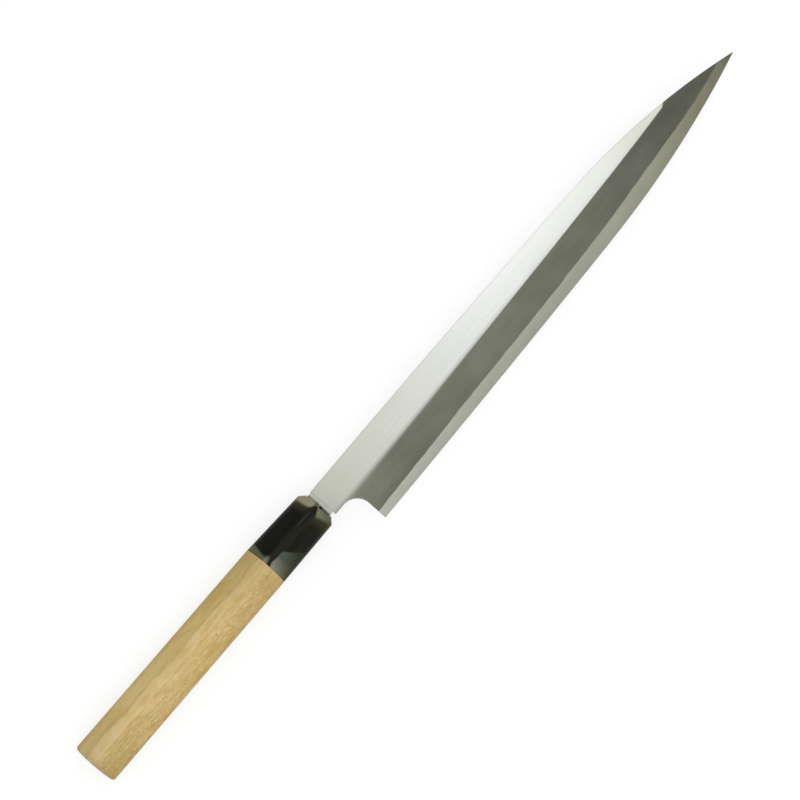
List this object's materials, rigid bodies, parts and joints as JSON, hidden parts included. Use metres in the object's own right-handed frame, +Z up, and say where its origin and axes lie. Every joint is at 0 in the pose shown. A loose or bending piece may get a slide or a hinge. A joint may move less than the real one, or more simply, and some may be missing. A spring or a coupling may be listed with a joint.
{
  "type": "yanagiba knife",
  "caption": "Long single-bevel slicing knife: laminated iron and steel blade with hollow back, horn ferrule and chestnut-section wooden handle on a hidden tang.",
  "frame": {"origin": "bottom centre of the bounding box of the whole knife, lying flat with its bevelled face up", "axes": "+X from the butt of the handle to the tip, +Y towards the spine, -Y towards the edge, +Z up out of the bevelled face"},
  "size_m": [0.376, 0.0328, 0.017],
  "materials": {
    "soft_iron": "satin flat with a matt grey bevel",
    "hard_steel": "polished",
    "buffalo_horn": "polished dark horn with olive streaks",
    "magnolia_wood": "bare sanded wood"
  },
  "bodies": {
    "root": {"blade_cladding": "soft_iron", "edge_steel": "hard_steel", "horn_ferrule": "buffalo_horn", "wood_handle": "magnolia_wood"}
  },
  "joints": []
}
